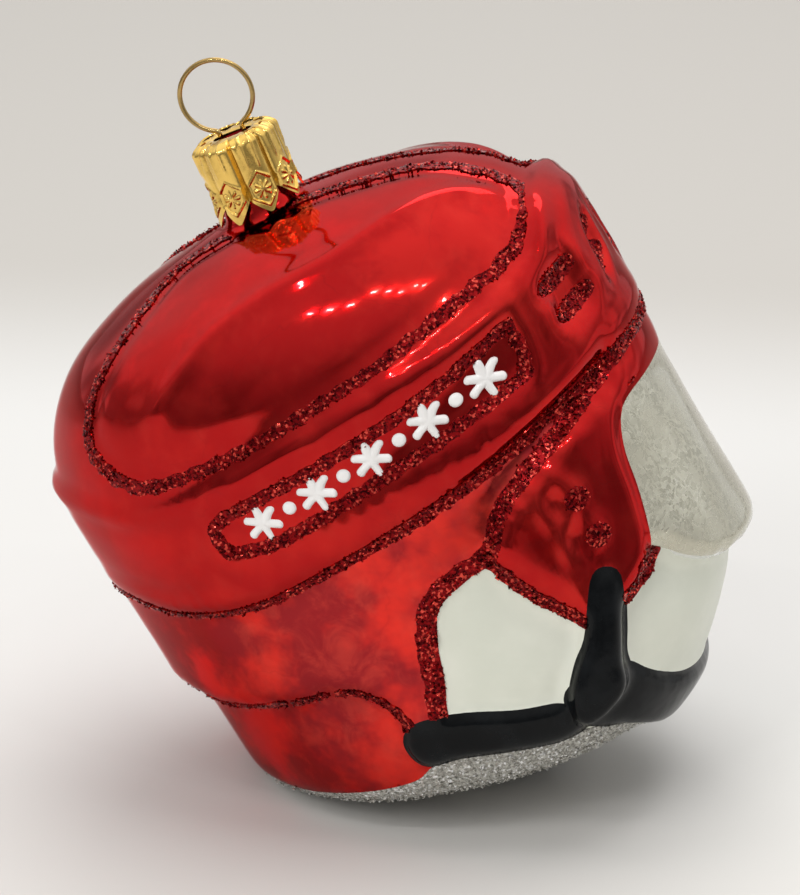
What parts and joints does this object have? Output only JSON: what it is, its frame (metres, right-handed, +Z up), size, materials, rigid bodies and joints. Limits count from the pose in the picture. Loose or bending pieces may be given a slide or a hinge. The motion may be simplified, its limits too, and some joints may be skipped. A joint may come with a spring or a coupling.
{
  "type": "hockey helmet ornament",
  "caption": "Blown glass hanging ornament shaped like an ice hockey helmet worn on a head, with red lacquer, glitter edges, a gold cap and a wire ring.",
  "frame": {"origin": "centre of the bounding box, at the flat face it rests on", "axes": "+X the way the face looks, +Y to the helmet's own left, +Z up from the table"},
  "size_m": [0.1008, 0.0682, 0.1026],
  "materials": {
    "glass": "blown glass, clear",
    "silvering": "mirror silvering on the inside of the glass",
    "red_lacquer": "translucent gloss red lacquer",
    "crackle_silver": "silver lacquer crazed with fine cracks",
    "clear_lip": "pale gloss lacquer",
    "pearl_white": "matt pearl white enamel",
    "black_enamel": "satin black enamel",
    "white_glitter": "white glitter in clear glue",
    "red_glitter": "dark red glitter in clear glue",
    "white_enamel": "thick white enamel strokes",
    "gold_cap": "thin pressed metal with a gold finish",
    "gold_wire": "spring wire with a gold finish"
  },
  "bodies": {
    "ornament": {"glass_body": "glass", "silver_lining": "silvering", "crown_lacquer": "red_lacquer", "band_lacquer": "red_lacquer", "shell_lacquer": "red_lacquer", "collar_lacquer": "red_lacquer", "ear_guard_lacquer": "red_lacquer", "visor_crackle": "crackle_silver", "visor_lip": "clear_lip", "face_enamel": "pearl_white", "ear_enamel_right": "pearl_white", "ear_enamel_left": "pearl_white", "chin_strap_enamel": "black_enamel", "chin_cup_enamel": "black_enamel", "underside_glitter": "white_glitter", "crown_glitter_right": "red_glitter", "crown_glitter_left": "red_glitter", "band_panel_glitter": "red_glitter", "band_edge_glitter": "red_glitter", "shell_edge_glitter": "red_glitter", "ear_guard_glitter": "red_glitter", "vent_glitter": "red_glitter", "stud_glitter": "red_glitter", "band_motif": "white_enamel"},
    "cap": {"hanger_cap": "gold_cap"},
    "hanger": {"hanger_wire": "gold_wire"}
  },
  "joints": [
    {"name": "cap_lift", "type": "slide", "parent": "ornament", "child": "cap", "axis": [-0.3762, 0, 0.9265], "range_m": [0, 0.018]},
    {"name": "hanger_tilt", "type": "hinge", "parent": "cap", "child": "hanger", "pos_m": [-0.02261, 0, 0.0922], "axis": [0.9265, 0, 0.3762], "range_deg": [-10, 10]}
  ]
}
